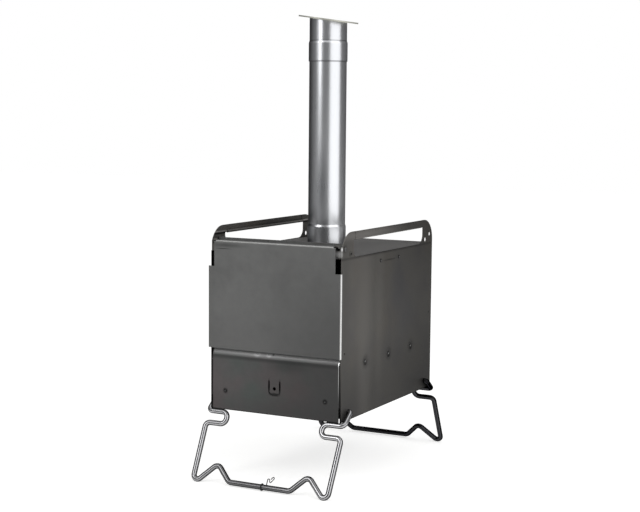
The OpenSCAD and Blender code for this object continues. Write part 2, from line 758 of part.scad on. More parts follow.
module leg_bar() {
    foot_x = leg_x - foot_in;
    peak_x = leg_x - peak_in;
    foot_y = -foot_drop - foot_r * (1 / tan(22.5) - 1);
    peak_y = foot_y + foot_x - peak_x;
    run_y = run_lift - foot_drop;
    pin_end = body_w / 2 + leg_hole_past;
    half = [
        [pin_end - lap, crank_len, 0],
        [leg_x, crank_len, leg_x - pin_end],
        [leg_x, 0, under_r],
        [leg_x - loop_in, 0, loop_r],
        [leg_x - loop_in, -loop_h, loop_r],
        [leg_x, -loop_h, post_r],
        [foot_x, foot_y, foot_r],
        [peak_x, peak_y, peak_r],
        [peak_x + run_y - peak_y, run_y, run_r]];
    last = len(half) - 1;
    bent_bar(concat(half, [for (i = [last:-1:0]) [-half[i][0], half[i][1], half[i][2]]]),
        leg_bar_d - 2 * bar_step, crank_lean);
    both_sides() rotate([-crank_lean, 0, 0])
        cross_pin(wall_x - leg_pin, crank_len, 0, leg_bar_d, leg_pin + sheet + leg_hole_past);
}

module leg_frame_front() color("silver") in_body() on_front_leg() difference() {
    leg_bar();
    translate([lock_x, run_lift - foot_drop, 0]) rotate([90, 0, 0])
        cylinder(r = lock_wire / 2 + pin_fit, h = leg_bar_d + past, center = true);
}

module leg_frame_rear() color("silver") in_body() translate([0, body_d, 0]) mirror([0, 1, 0])
    on_front_leg() leg_bar();

module keeper_ring() color("dimgray") in_body() on_front_leg()
    translate([keeper_x, run_lift - foot_drop, 0]) rotate([0, 90, 0]) rotate_extrude()
        translate([leg_bar_d / 2 + pin_fit + keeper_wire / 2, 0]) circle(d = keeper_wire);

// Clip whose stem sits in a cross hole of the run: one wire bent to an eye and a long loop
module lock_clip() color("silver") in_body() on_front_leg()
    translate([lock_x, run_lift - foot_drop, 0]) {
        stem_top = eye_up - lock_foot;
        eye_top = eye_up + eye_r;
        low = [2 * eye_r + lock_wire, eye_up - lock_foot];
        along_loop = [cos(lock_lean), sin(lock_lean)];
        far_right = low + (lock_loop + 2 * lock_loop_r) * along_loop;
        far_left = far_right + 2 * lock_loop_r * [-along_loop[1], along_loop[0]];
        free_end = far_left - (lock_loop - lock_wire - lock_loop_r) * along_loop;
        translate([0, -leg_bar_d / 2, 0]) rotate([-90, 0, 0])
            cylinder(d = lock_wire, h = leg_bar_d / 2 + stem_top);
        bent_bar([
            [0, stem_top, 0],
            [0, eye_top, eye_r - bar_step],
            [2 * eye_r, eye_top, eye_r - bar_step],
            [low[0], low[1], lock_wire],
            [far_right[0], far_right[1], lock_loop_r - bar_step],
            [far_left[0], far_left[1], lock_loop_r - bar_step],
            [free_end[0], free_end[1], 0]], lock_wire - 2 * bar_step);
    }

// Half section of a pipe whose bell slides over the piece below
function pipe_section(len) =
    let (in_r = pipe_d / 2 - pipe_t, out_r = pipe_d / 2, step = bell_len + shoulder_len)
    [[bell_id_r, 0], [bell_id_r + pipe_t, 0], [bell_id_r + pipe_t, bell_len], [out_r, step],
     [out_r, len], [in_r, len], [in_r, step], [bell_id_r, bell_len]];

module flue_lower() color("silver") in_body() translate([0, mid_y, lower_z])
    rotate_extrude() polygon(pipe_section(lower_len));

// Places a shape on the tilted flashing plate's centre
module on_cap() {
    translate([0, mid_y, cap_z]) rotate([0, cap_tilt, 0]) children();
}

module flue_upper() color("silver") in_body() difference() {
    translate([0, mid_y, upper_z])
        rotate_extrude() polygon(pipe_section(cap_z - upper_z + pipe_d));
    on_cap() translate([0, 0, -cap_t / 2 - seat_gap]) cylinder(r = cap_d, h = 2 * cap_d);
}

module flashing_plate() color("lightgray") in_body() difference() {
    union() {
        on_cap() cylinder(d = cap_d, h = cap_t, center = true);
        difference() {
            translate([0, mid_y, cap_z - cap_spigot]) cylinder(r = cap_tube_r, h = 2 * cap_spigot);
            on_cap() translate([0, 0, cap_t / 2]) cylinder(r = cap_d, h = 2 * cap_d);
        }
    }
    translate([0, mid_y, cap_z - cap_spigot - past])
        cylinder(r = cap_tube_r - cap_wall, h = 3 * cap_spigot);
}

side_panel_left();
side_panel_right();
floor_tray();
front_panel();
back_panel();
front_rail();
rail_eyelets();
plate_bracket_left();
plate_bracket_right();
bracket_rivets();
grate_studs();
front_rivets();
back_rivets();
grate();
baffle();
cook_plate();
flue_collar();
collar_rivets();
door();
hinge_rod();
rod_clips();
leg_frame_front();
leg_frame_rear();
keeper_ring();
lock_clip();
flue_lower();
flue_upper();
flashing_plate();
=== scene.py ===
"""Looks of a tent stove: steel sheets, bright legs, a flue pipe and the studio round it.

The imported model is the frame. Sheet parts keep their shape and get a finish. The leg frames and
the flue are drawn again as smooth surfaces in the same places. All lengths are metres.
"""

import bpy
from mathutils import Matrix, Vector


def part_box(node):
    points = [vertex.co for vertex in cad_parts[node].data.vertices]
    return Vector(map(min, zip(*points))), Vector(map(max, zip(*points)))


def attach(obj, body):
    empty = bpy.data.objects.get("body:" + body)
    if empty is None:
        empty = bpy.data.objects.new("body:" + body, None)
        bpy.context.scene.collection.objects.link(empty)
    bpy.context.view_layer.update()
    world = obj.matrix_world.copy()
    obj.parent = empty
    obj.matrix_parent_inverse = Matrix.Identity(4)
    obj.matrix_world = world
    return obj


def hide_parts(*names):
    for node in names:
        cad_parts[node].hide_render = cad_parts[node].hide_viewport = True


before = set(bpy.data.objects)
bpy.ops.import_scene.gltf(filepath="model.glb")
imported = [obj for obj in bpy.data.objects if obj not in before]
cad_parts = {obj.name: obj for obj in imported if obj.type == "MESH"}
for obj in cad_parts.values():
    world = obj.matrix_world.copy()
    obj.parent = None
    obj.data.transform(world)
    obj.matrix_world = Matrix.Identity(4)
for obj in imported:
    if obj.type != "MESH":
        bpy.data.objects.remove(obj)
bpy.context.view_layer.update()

import math

import bpy
import numpy as np
from bpy.props import FloatProperty, FloatVectorProperty, PointerProperty
from mathutils import Matrix

bl_info = {
    "name": "Tent stove looks",
    "version": (1, 0, 0),
    "blender": (4, 5, 0),
    "location": "View3D > Sidebar > Tent stove",
    "description": "Finishes a tent stove with its flue and leg frames, and lights it",
    "category": "Object",
}

PIPE_LOW, PIPE_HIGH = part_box("flue_lower")
TOP_LOW, TOP_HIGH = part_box("flue_upper")
DOOR_LOW, DOOR_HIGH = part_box("door")
FRONT_LOW, FRONT_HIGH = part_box("front_panel")
SIDE_LOW, SIDE_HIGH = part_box("side_panel_right")
RIVET_LOW, RIVET_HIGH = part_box("bracket_rivets")

# Places of the grate studs and rivets, and of the forms on the sheets that get marks of their own
STUDS_Y, STUDS_Z = (-0.1, 0.0, 0.1), 0.22
RIVETS_Y, RIVETS_Z = (-0.04, 0.04), (RIVET_LOW.z + RIVET_HIGH.z) / 2
END_RIVETS_X, END_RIVETS_Z = (-0.102, 0.102), 0.16
EAR_X, EAR_Z, EAR_FOLD_Z = 0.1325, 0.43, 0.4215
EYELET_IN, EYELET_Z = 0.0385, 0.42
SLOT_Z, BAR_Z = 0.4118, 0.444
TONGUE_X, TONGUE_Z, TONGUE_FOOT_Z = 0.011, 0.177, 0.1625

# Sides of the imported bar, columns of the smooth surfaces and how far they stay inside the CAD
BAR_SIDES, BAR_COLUMNS, PIPE_COLUMNS = 20, 40, 160
CLEARANCE = 0.00002

# The studio: lights, floor, a dark cloth that metal mirrors, and where that cloth is darkest
LIGHT_DISTANCE, LIGHT_TOP = 2.3, 2.6
FLOOR_HALF, CLOTH_RADIUS, CLOTH_TOP = 9.0, 3.4, 2.8
BEHIND_LEFT, BEHIND_REACH = (-3.2, 1.2, 0), 3.2
BLACK, DIM, WHITE = (0.003, 0.003, 0.003), (0.018, 0.018, 0.018), (1.0, 1.0, 1.0, 1.0)


def length(name, description, default):
    """A length in metres that can be changed in the sidebar."""
    return FloatProperty(
        name=name, description=description, default=default, min=0.0, precision=4, unit="LENGTH"
    )


def angle(name, description, degrees):
    """An angle, given in degrees, that can be changed in the sidebar."""
    return FloatProperty(
        name=name, description=description, default=math.radians(degrees), unit="ROTATION"
    )


def colour(name, description, default):
    """A colour, as linear red, green and blue."""
    return FloatVectorProperty(
        name=name, description=description, default=default, min=0.0, max=1.0, subtype="COLOR"
    )


def share(name, description, default):
    """A plain number between 0 and 1."""
    return FloatProperty(
        name=name, description=description, default=default, min=0.0, max=1.0, subtype="FACTOR"
    )


def watts(name, description, default):
    """The power of a light."""
    return FloatProperty(name=name, description=description, default=default, min=0.0, unit="POWER")


class LegSizes(bpy.types.PropertyGroup):
    """Lengths of a leg frame's bent bar and of the body that it carries"""

    bar: length("Bar diameter", "Diameter of the round bar", 0.01)
    body_width: length("Body width", "Width over the side panels", 0.265)
    body_depth: length("Body depth", "Depth of the side panels", 0.396)
    clear: length("Ground clearance", "Height of the body's bottom edge", 0.125)
    hole_in: length("Hole distance", "Distance of the hinge holes from the body's ends", 0.03)
    hole_height: length("Hole height", "Height of the hinge holes on the body", 0.015)
    upper_in: length("Upper bar inset", "Distance of the upper bars from the body's ends", 0.0025)
    tilt: angle("Tilt", "Lean of each leg frame from upright", 26.4)
    pin: length("Pin length", "Length of the pin inside the side panel", 0.017)
    sheet: length("Sheet", "Thickness of the side panels", 0.0015)
    post_gap: length("Post gap", "Gap between the posts and the side panels", 0.0008)
    under_gap: length("Upper gap", "Gap between the upper bars and the body", 0.0006)
    under_bend: length("Upper bend", "Bend radius where the bar turns in under the body", 0.008)
    loop_in: length("Loop reach", "How far in the upper loop reaches", 0.0407)
    loop_height: length("Loop height", "Height of the upper loop between bar centres", 0.0224)
    post_bend: length("Post bend", "Bend radius below the upper loop", 0.0085)
    loop_bend: length("Loop bend", "Bend radius of the upper loop", 0.0106)
    foot_in: length("Foot inset", "How far in the foot lies from the top of its post", 0.0019)
    foot_bend: length("Foot bend", "Bend radius of the foot", 0.0085)
    peak_in: length("Peak inset", "How far in the bar's rise ends", 0.0462)
    peak_bend: length("Peak bend", "Bend radius on top of the bar's rise", 0.01)
    run_bend: length("Run bend", "Bend radius at the ends of the cross run", 0.012)
    run_lift: length("Run height", "Height of the cross run above the feet", 0.0022)


class FlueSizes(bpy.types.PropertyGroup):
    """Lengths of the two flue pipes"""

    pipe: length("Pipe diameter", "Outer diameter of the pipe", 0.07)
    wall: length("Wall", "Thickness of the pipe's wall", 0.001)
    fit: length("Bell fit", "Radial gap between a bell and the pipe in it", 0.0003)
    bell: length("Bell length", "Length of the widened lower end", 0.034)
    shoulder: length("Shoulder length", "Length over which the pipe widens", 0.004)
    lower_foot: length("Lower pipe foot", "Height of the lower pipe's foot", PIPE_LOW.z)
    lower_top: length("Lower pipe top", "Height of the lower pipe's top", PIPE_HIGH.z)
    upper_foot: length("Upper pipe foot", "Height of the upper pipe's foot", TOP_LOW.z)
    upper_top: length("Upper pipe top", "Height of the upper pipe's high side", TOP_HIGH.z)
    cap_tilt: angle("Top tilt", "Tilt of the pale plate on the upper pipe", 8.0)


class SteelFinish(bpy.types.PropertyGroup):
    """Colours of the sheets, bars and fasteners"""

    body: colour("Body sheet", "Hot rolled sheet of the sides", (0.121, 0.117, 0.11))
    # Painted shade: the lower front's colour is darker than the body sheet's; the back panel shares
    # it
    front: colour("Lower front", "Hot rolled sheet of the lower front", (0.094, 0.092, 0.092))
    body_warm: colour("Body warm tint", "Straw tint of the body sheet", (0.126, 0.117, 0.105))
    body_cool: colour("Body cool tint", "Blue tint of the body sheet", (0.105, 0.102, 0.101))
    door: colour("Door sheet", "Hot rolled sheet of the door", (0.158, 0.159, 0.157))
    plate: colour("Cook plate", "Steel plate of the cooking surface", (0.235, 0.23, 0.226))
    iron: colour("Inner iron", "Plain iron inside the firebox", (0.05, 0.05, 0.05))
    bright: colour("Bright steel", "Rod and clips", (0.4, 0.4, 0.4))
    rivet: colour("Rivet steel", "Darkened heads of rivets and studs", (0.016, 0.016, 0.016))
    eyelet: colour("Eyelet steel", "Tube rivets of the front rail", (0.15, 0.148, 0.14))
    bar_front: colour("Front leg bar", "Drawn bar of the front leg frame", (0.074, 0.074, 0.076))
    # Painted shade: the rear bar is the same steel as the front one, coloured darker
    bar_rear_shaded: colour("Rear leg bar", "Drawn bar of the rear leg frame", (0.01, 0.01, 0.011))
    clip: colour("Lock clip", "Spring wire of the lock clip", (0.06, 0.06, 0.058))
    flue: colour("Flue steel", "Brushed stainless steel of the pipes", (0.6, 0.61, 0.63))
    flashing: colour("Top plate", "Pale sheet on the upper pipe", (0.45, 0.45, 0.4))
    wire: colour("Dark wire", "Oiled wire of the keeper ring", (0.05, 0.05, 0.05))


class StudioSettings(bpy.types.PropertyGroup):
    """Camera, lights and background"""

    camera_x: length("Camera X", "Camera's place to the right of the stove", 1.2239)
    camera_back: length("Camera distance", "Camera's place in front of the stove", 2.3789)
    camera_z: length("Camera height", "Camera's height above the floor", 0.6719)
    turn: angle("Camera turn", "Turn of the camera round the upright", 27.479)
    nod: angle("Camera nod", "Downward slope of the camera", 5.924)
    roll: angle("Camera roll", "Roll of the camera", 0.51)
    lens: FloatProperty(
        name="Lens", description="Focal length on a 36 mm sensor", default=79.89, unit="CAMERA"
    )
    key_power: watts("Right light", "Power of the broad light on the right", 35.0)
    strip_power: watts("Left light", "Power of the narrow light on the left", 14.5)
    side_power: watts("Far left light", "Power of the dim light far left", 3.0)
    surround: share("Surround", "Brightness of the dark cloth that metal mirrors", 0.16)
    world: share("World", "Brightness of the light from all round", 0.5)
    floor_glow: share("Floor glow", "Light that the camera sees from the floor itself", 0.58)


def feed(tree, node, inputs):
    """Sets a node's inputs to values, or links them where the value is a socket."""
    for key, value in inputs.items():
        if isinstance(value, bpy.types.NodeSocket):
            tree.links.new(value, node.inputs[key])
        else:
            node.inputs[key].default_value = value
    return node


def place(tree, kind, inputs=None, **settings):
    """A shader node with its settings, whose inputs are values or sockets that feed them."""
    made = tree.nodes.new("ShaderNode" + kind)
    for key, value in settings.items():
        setattr(made, key, value)
    return feed(tree, made, inputs or {})


def effect(name, inputs, outputs):
    """An empty shader group with named inputs and outputs, and its two end nodes."""
    group = bpy.data.node_groups.new(name, "ShaderNodeTree")
    for label, kind, value in inputs:
        socket = group.interface.new_socket(label, in_out="INPUT", socket_type="NodeSocket" + kind)
        socket.default_value = value
    for label, kind in outputs:
        group.interface.new_socket(label, in_out="OUTPUT", socket_type="NodeSocket" + kind)
    return group, group.nodes.new("NodeGroupInput").outputs, group.nodes.new("NodeGroupOutput")


def maths(tree, operation, first, second, clamp=False):
    """Result socket of one calculation on two numbers."""
    made = place(tree, "Math", {0: first, 1: second}, operation=operation, use_clamp=clamp)
    return made.outputs[0]


def noise(tree, vector, scale, detail=2.0, roughness=0.5):
    """Noise between 0 and 1 whose cells are about one metre divided by scale."""
    inputs = {"Vector": vector, "Scale": scale, "Detail": detail, "Roughness": roughness}
    return place(tree, "TexNoise", inputs).outputs["Fac"]


def blend(tree, amount, first, second, mode="MIX"):
    """Two colours mixed by an amount."""
    inputs = {0: amount, 6: first, 7: second}
    return place(tree, "Mix", inputs, data_type="RGBA", blend_type=mode).outputs[2]


def remap(tree, value, low, high, to_low=0.0, to_high=1.0, curve="LINEAR"):
    """A number moved from one range to another and held inside it."""
    inputs = {0: value, 1: low, 2: high, 3: to_low, 4: to_high}
    return place(tree, "MapRange", inputs, interpolation_type=curve, clamp=True).outputs[0]


def centred(tree, value, amount):
    """A number from 0 to 1 turned into a swing round 0, times an amount."""
    return maths(tree, "MULTIPLY", maths(tree, "SUBTRACT", value, 0.5), amount)


def grey(tree, level):
    """A grey colour from a number."""
    return place(tree, "CombineColor", {0: level, 1: level, 2: level}).outputs[0]


def mill_scale_group():
    """Hot rolled skin: broad tinted clouds, mottling and fine grain on a slightly wavy sheet."""
    group, given, out = effect(
        "Mill scale",
        [
            ("Vector", "Vector", (0, 0, 0)),
            ("Base", "Color", (0.1, 0.1, 0.1, 1)),
            ("Warm", "Color", (0.1, 0.1, 0.1, 1)),
            ("Cool", "Color", (0.1, 0.1, 0.1, 1)),
            ("Mottle", "Float", 0.2),
            ("Gloss", "Float", 0.4),
        ],
        [("Color", "Color"), ("Roughness", "Float"), ("Height", "Float")],
    )
    clouds = noise(group, given["Vector"], 9.0, 2.0)
    drift = place(group, "VectorMath", {0: given["Vector"], 1: (3.1, 1.7, 5.3)}).outputs[0]
    tint = noise(group, drift, 14.0, 2.0)
    mottle = noise(group, given["Vector"], 70.0, 4.0, 0.6)
    grain = noise(group, given["Vector"], 900.0, 2.0)
    warm = remap(group, clouds, 0.45, 0.68)
    cool = remap(group, tint, 0.48, 0.7)
    shade = blend(group, warm, given["Base"], given["Warm"])
    shade = blend(group, cool, shade, given["Cool"])
    spread = centred(group, mottle, given["Mottle"])
    fine = centred(group, grain, 0.12)
    level = maths(group, "ADD", maths(group, "ADD", spread, fine), 1.0)
    shade = blend(group, 1.0, shade, grey(group, level), "MULTIPLY")
    rough = maths(group, "ADD", given["Gloss"], maths(group, "MULTIPLY", spread, 0.35))
    rough = maths(group, "ADD", rough, maths(group, "MULTIPLY", fine, 0.5), clamp=True)
    waves = maths(group, "MULTIPLY", noise(group, given["Vector"], 6.0, 1.0), 0.0011)
    skin = maths(group, "MULTIPLY", grain, 0.000012)
    group.links.new(shade, out.inputs["Color"])
    group.links.new(rough, out.inputs["Roughness"])
    group.links.new(maths(group, "ADD", waves, skin), out.inputs["Height"])
    return group


def near_group():
    """Mask that is 1 on a line or point and fades to 0 at a distance from it."""
    group, given, out = effect(
        "Near a line",
        [
            ("Vector", "Vector", (0, 0, 0)),
            ("Point", "Vector", (0, 0, 0)),
            ("Across", "Vector", (1, 1, 1)),
            ("Reach", "Float", 0.01),
        ],
        [("Mask", "Float")],
    )
    away = place(group, "VectorMath", {0: given["Vector"], 1: given["Point"]}, operation="SUBTRACT")
    kept = place(
        group, "VectorMath", {0: away.outputs[0], 1: given["Across"]}, operation="MULTIPLY"
    )
    gap = place(group, "VectorMath", {0: kept.outputs[0]}, operation="LENGTH").outputs["Value"]
    near = maths(group, "DIVIDE", gap, given["Reach"])
    mask = remap(group, near, 0.0, 1.0, 1.0, 0.0, "SMOOTHSTEP")
    group.links.new(mask, out.inputs["Mask"])
    return group


def brushed_group():
    """Fine lines drawn out along one axis, as brushing or drawing leaves them."""
    group, given, out = effect(
        "Brushed lines",
        [
            ("Vector", "Vector", (0, 0, 0)),
            ("Squeeze", "Vector", (1, 1, 0.02)),
            ("Line Scale", "Float", 900.0),
            ("Strength", "Float", 0.1),
            ("Gloss", "Float", 0.2),
            ("Wear", "Float", 0.1),
        ],
        [("Shade", "Float"), ("Roughness", "Float"), ("Height", "Float")],
    )
    drawn = place(
        group, "VectorMath", {0: given["Vector"], 1: given["Squeeze"]}, operation="MULTIPLY"
    ).outputs[0]
    lines = place(
        group, "TexNoise", {"Vector": drawn, "Scale": given["Line Scale"], "Detail": 3.0}
    ).outputs["Fac"]
    patches = noise(group, given["Vector"], 25.0, 2.0)
    spread = centred(group, lines, given["Strength"])
    worn = centred(group, patches, given["Wear"])
    group.links.new(maths(group, "ADD", spread, 1.0), out.inputs["Shade"])
    rough = maths(group, "ADD", maths(group, "ADD", given["Gloss"], spread), worn, clamp=True)
    group.links.new(rough, out.inputs["Roughness"])
    group.links.new(maths(group, "MULTIPLY", spread, 0.00003), out.inputs["Height"])
    return group


def opaque(values):
    """A colour with full cover added."""
    return (*values, 1.0)


def scaled(tone, *levels):
    """A colour times one level, or times one for each of red, green and blue."""
    levels = levels * 3 if len(levels) == 1 else levels
    return tuple(level * value for level, value in zip(levels, tone))


def new_material(name):
    """An empty material with its shader, its output and the object's coordinates."""
    material = bpy.data.materials.new(name)
    material.use_nodes = True
    tree = material.node_tree
    tree.nodes.clear()
    shader = place(tree, "BsdfPrincipled")
    place(tree, "OutputMaterial", {"Surface": shader.outputs[0]})
    where = place(tree, "TexCoord").outputs["Object"]
    return material, tree, shader, where


def join_height(tree, shader, height, strength=1.0):
    """Leads a height in metres to the shader's normal."""
    bump = place(tree, "Bump", {"Height": height, "Strength": strength, "Distance": 1.0})
    tree.links.new(bump.outputs[0], shader.inputs["Normal"])


def group_node(tree, name, build, inputs):
    """Outputs of a shared shader group, built the first time, with its own values here."""
    made = tree.nodes.new("ShaderNodeGroup")
    made.node_tree = bpy.data.node_groups.get(name) or build()
    return feed(tree, made, inputs).outputs


def near(tree, where, point, across, reach):
    """Mask round one line or point."""
    inputs = {"Vector": where, "Point": point, "Across": across, "Reach": reach}
    return group_node(tree, "Near a line", near_group, inputs)["Mask"]


def mark(at, across, reach, level, tone, polish=0.0):
    """A mark's place, how much each axis counts, reach, strength, colour or grey, and shine."""
    return at, across, reach, level, (tone, tone, tone) if isinstance(tone, float) else tone, polish


def add_marks(tree, where, shade, rough, marks):
    """Colour and roughness with marks laid over them, one after the other."""
    for at, across, reach, level, tone, polish in marks:
        mask = maths(tree, "MULTIPLY", near(tree, where, at, across, reach), level)
        shade = blend(tree, mask, shade, opaque(tone))
        if polish:
            shine = maths(tree, "MULTIPLY", mask, polish)
            rough = maths(tree, "SUBTRACT", rough, shine, clamp=True)
    return shade, rough


def sheet_material(name, base, warm, cool, mottle=0.22, gloss=0.4, metal=0.6, marks=()):
    """Hot rolled sheet with its marks."""
    material, tree, shader, where = new_material(name)
    inputs = {"Base": opaque(base), "Warm": opaque(warm), "Cool": opaque(cool)}
    inputs.update({"Vector": where, "Mottle": mottle, "Gloss": gloss})
    scale = group_node(tree, "Mill scale", mill_scale_group, inputs)
    shade, rough = add_marks(tree, where, scale["Color"], scale["Roughness"], marks)
    tree.links.new(shade, shader.inputs["Base Color"])
    tree.links.new(rough, shader.inputs["Roughness"])
    shader.inputs["Metallic"].default_value = metal
    shader.inputs["Specular IOR Level"].default_value = 0.25
    shader.inputs["Specular Tint"].default_value = (0.3, 0.3, 0.3, 1.0)
    join_height(tree, shader, scale["Height"])
    return material


def bright_material(
    name, tone, gloss, squeeze, lines=1500.0, strength=0.12, edge=1.0, wear=0.1, marks=(), bar=False
):
    """Bright metal with fine lines along one axis, or along its own UV map where it is a bar."""
    material, tree, shader, where = new_material(name)
    drawn = place(tree, "UVMap", uv_map="bar").outputs[0] if bar else where
    inputs = {"Vector": drawn, "Squeeze": squeeze, "Line Scale": lines}
    inputs.update({"Strength": strength, "Gloss": gloss, "Wear": wear})
    brushed = group_node(tree, "Brushed lines", brushed_group, inputs)
    shade = blend(tree, 1.0, opaque(tone), grey(tree, brushed["Shade"]), "MULTIPLY")
    specks = remap(tree, noise(tree, where, 160.0, 3.0), 0.6, 0.74, 0.0, 2.0 * wear)
    shade = blend(tree, specks, shade, (0.1, 0.095, 0.09, 1.0))
    shade, rough = add_marks(tree, drawn, shade, brushed["Roughness"], marks)
    tree.links.new(shade, shader.inputs["Base Color"])
    tree.links.new(rough, shader.inputs["Roughness"])
    shader.inputs["Metallic"].default_value = 1.0
    shader.inputs["Specular Tint"].default_value = (edge, edge, edge, 1.0)
    join_height(tree, shader, brushed["Height"])
    return material


def finish_nodes(names, material):
    """Gives CAD nodes a finish and leaves their meshes alone."""
    for name in names:
        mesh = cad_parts[name].data
        mesh.materials.clear()
        mesh.materials.append(material)


def bend_line(corners, step, closed=False):
    """Line through corners (x, y, bend radius), rounded at each bend.

    A bend of radius r that turns by an angle t starts r * tan(t / 2) before its corner, and its
    points lie on the circle of radius r that touches both stretches. Returns the points and
    the heading at each of them.
    """
    corners = np.asarray(corners, float)
    places, radii = corners[:, :2], corners[:, 2]
    onward = np.roll(places, -1, axis=0) - places
    headings = np.arctan2(onward[:, 1], onward[:, 0])
    count = len(corners)
    points, turns = [], []
    for i in range(count):
        into, out_of = headings[i - 1], headings[i]
        if not closed and i in (0, count - 1):
            points.append(places[i][None])
            turns.append(np.array([out_of if i == 0 else into]))
            continue
        bend = (out_of - into + math.pi) % (2 * math.pi) - math.pi
        side = math.copysign(1.0, bend)
        steps = max(1, math.ceil(abs(bend) / step)) if radii[i] > 0 else 1
        heading = into + bend * np.linspace(0.0, 1.0, steps + 1)
        along = np.array([math.cos(into), math.sin(into)])
        start = places[i] - radii[i] * math.tan(abs(bend) / 2) * along
        centre = start + radii[i] * side * np.array([-along[1], along[0]])
        ring = centre + radii[i] * side * np.stack([np.sin(heading), -np.cos(heading)], axis=1)
        points.append(ring)
        turns.append(heading)
    return np.concatenate(points), np.concatenate(turns)


def surface(name, grid, body, material, uv=None, ring=False):
    """Closed mesh of a grid of points, rows along the piece and columns round it.

    The last column joins the first. With ring set the last row joins the first, and otherwise
    each end is closed with a fan to the middle of its row.
    """
    rows, columns = grid.shape[:2]
    row_count = rows if ring else rows - 1
    i, j = np.meshgrid(np.arange(row_count), np.arange(columns), indexing="ij")
    i, j = i.ravel(), j.ravel()
    right, down = (j + 1) % columns, (i + 1) % rows
    row, below = i * columns, down * columns
    quads = np.stack([row + j, row + right, below + right, below + j], 1)
    points = grid.reshape(-1, 3)
    loops, starts, totals = quads.ravel(), np.arange(len(quads)) * 4, np.full(len(quads), 4)
    if not ring:
        first, last = len(points), len(points) + 1
        points = np.concatenate([points, grid[0].mean(0)[None], grid[-1].mean(0)[None]])
        turn = np.arange(columns)
        beside = (turn + 1) % columns
        end = (rows - 1) * columns
        low = np.stack([turn * 0 + first, beside, turn], 1)
        high = np.stack([turn * 0 + last, end + turn, end + beside], 1)
        fans = np.concatenate([low, high]).ravel()
        starts = np.concatenate([starts, len(loops) + np.arange(2 * columns) * 3])
        totals = np.concatenate([totals, np.full(2 * columns, 3)])
        loops = np.concatenate([loops, fans])
    mesh = bpy.data.meshes.new(name)
    mesh.vertices.add(len(points))
    mesh.vertices.foreach_set("co", points.astype(np.float32).ravel())
    mesh.loops.add(len(loops))
    mesh.loops.foreach_set("vertex_index", loops.astype(np.int32))
    mesh.polygons.add(len(starts))
    mesh.polygons.foreach_set("loop_start", starts.astype(np.int32))
    mesh.polygons.foreach_set("loop_total", totals.astype(np.int32))
    mesh.update(calc_edges=True)
    mesh.validate()
    mesh.polygons.foreach_set("use_smooth", np.ones(len(starts), bool))
    mesh.set_sharp_from_angle(angle=math.radians(40))
    if uv is not None:
        along, round_step = uv
        u = np.stack([j, j + 1, j + 1, j], 1).ravel() * round_step
        v = np.stack([along[i], along[i], along[down], along[down]], 1).ravel()
        spare = len(loops) - len(u)
        layer = mesh.uv_layers.new(name="bar")
        pairs = np.stack([np.append(u, np.zeros(spare)), np.append(v, np.zeros(spare))], 1)
        layer.data.foreach_set("uv", pairs.astype(np.float32).ravel())
    mesh.materials.append(material)
    made = bpy.data.objects.new(name, mesh)
    bpy.context.scene.collection.objects.link(made)
    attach(made, body)
    return made


def lathe(section):
    """Grid of a closed section (radius, height) turned round the upright axis.

    The point at turn t is (radius * cos t, radius * sin t, height).
    """
    turn = np.linspace(0.0, 2 * math.pi, PIPE_COLUMNS, endpoint=False)[None, :]
    radius, height = section[:, :1], section[:, 1:]
    return np.stack([radius * np.cos(turn), radius * np.sin(turn), height + 0 * turn], axis=2)


def leg_crank(sizes):
    """Height of an upper bar under the body, and length and lean of the crank up to the pin."""
    upper = -(sizes.bar / 2 + sizes.under_gap)
    across, up = sizes.hole_in - sizes.upper_in, sizes.hole_height - upper
    return upper, math.hypot(across, up), math.atan2(across, up) - sizes.tilt


def leg_outline(sizes):
    """Corners (x, y, bend radius) of a leg frame's bar, flat, with y up from its upper bars."""
    upper, crank, _ = leg_crank(sizes)
    post = sizes.body_width / 2 + sizes.bar / 2 + sizes.post_gap
    pin_end = sizes.body_width / 2 + sizes.bar / 100
    drop = (sizes.clear + upper - sizes.bar / 2) / math.cos(sizes.tilt)
    foot_x, peak_x = post - sizes.foot_in, post - sizes.peak_in
    foot_y = -drop - sizes.foot_bend * (1 / math.tan(math.radians(22.5)) - 1)
    peak_y = foot_y + foot_x - peak_x
    run_y = sizes.run_lift - drop
    half = np.array(
        [
            [sizes.body_width / 2 - sizes.sheet - sizes.pin, crank, 0],
            [post, crank, post - pin_end],
            [post, 0, sizes.under_bend],
            [post - sizes.loop_in, 0, sizes.loop_bend],
            [post - sizes.loop_in, -sizes.loop_height, sizes.loop_bend],
            [post, -sizes.loop_height, sizes.post_bend],
            [foot_x, foot_y, sizes.foot_bend],
            [peak_x, peak_y, sizes.peak_bend],
            [peak_x + run_y - peak_y, run_y, sizes.run_bend],
        ]
    )
    return np.concatenate([half, half[::-1] * np.array([-1, 1, 1])])


